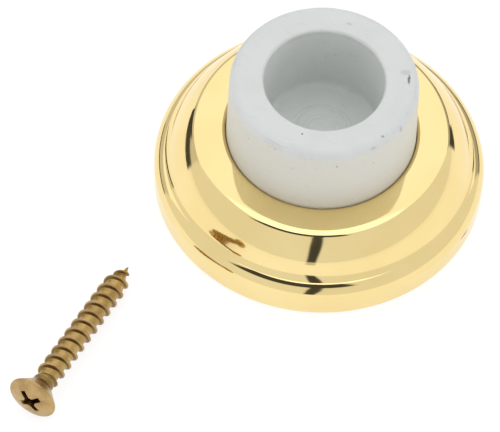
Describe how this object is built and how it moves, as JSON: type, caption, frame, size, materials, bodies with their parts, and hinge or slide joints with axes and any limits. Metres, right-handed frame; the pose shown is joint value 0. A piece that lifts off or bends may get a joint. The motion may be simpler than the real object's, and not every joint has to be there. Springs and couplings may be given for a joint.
{
  "type": "door stop",
  "caption": "Round wall-mounted door stop with a stepped pressed cover, a rubber bumper with a round recess in its face, and a loose countersunk fixing screw.",
  "frame": {"origin": "centre of the back face, on the wall plane, on the stop's axis", "axes": "+Z along the stop's axis, away from the wall; the loose screw lies on the same plane on the -X, -Y side"},
  "size_m": [0.0878, 0.0906, 0.032],
  "materials": {
    "polished_brass": "mirror polished and lacquered",
    "plated_steel": "zinc plated",
    "grey_rubber": "moulded, matt, pale grey",
    "screw_brass": "dull satin"
  },
  "bodies": {
    "base": {"cover": "polished_brass", "backing_plate": "plated_steel"},
    "bumper": {"bumper": "grey_rubber"},
    "screw": {"fixing_screw": "screw_brass"}
  },
  "joints": [
    {"name": "bumper_pull", "type": "slide", "parent": "base", "child": "bumper", "axis": [0, 0, 1], "range_m": [0, 0.045]},
    {"name": "screw_lift", "type": "slide", "parent": "base", "child": "screw", "axis": [0, 0, 1], "range_m": [0, 0.06]}
  ]
}
